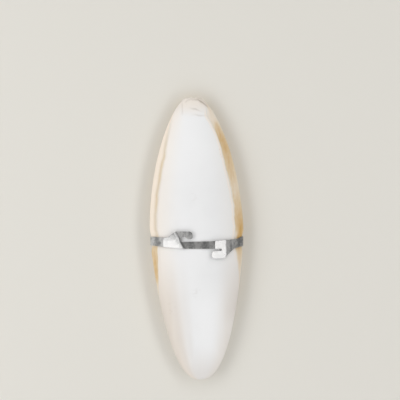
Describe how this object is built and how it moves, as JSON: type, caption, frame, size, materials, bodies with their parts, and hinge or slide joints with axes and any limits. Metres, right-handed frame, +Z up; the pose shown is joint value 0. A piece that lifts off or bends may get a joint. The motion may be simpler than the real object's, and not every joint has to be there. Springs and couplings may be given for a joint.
{
  "type": "cuttlebone with cage clip",
  "caption": "Long oval cuttlebone with a hard domed side, a chambered soft side and an amber rim, held by a stamped steel strip whose hooks catch cage wires.",
  "frame": {"origin": "middle of the footprint, on the surface that the bone lies on", "axes": "+Y along the bone to its narrow broken end, +X to the right seen from above, +Z up out of the hard side that carries the hooks"},
  "size_m": [0.0679, 0.205, 0.0261],
  "materials": {
    "bone": "chalky matte white aragonite, amber horn-like margin",
    "clip_steel": "thin nickel plated sheet, bright with rolled streaks"
  },
  "bodies": {
    "root": {"cuttlebone": "bone", "holder_clip": "clip_steel"}
  },
  "joints": []
}
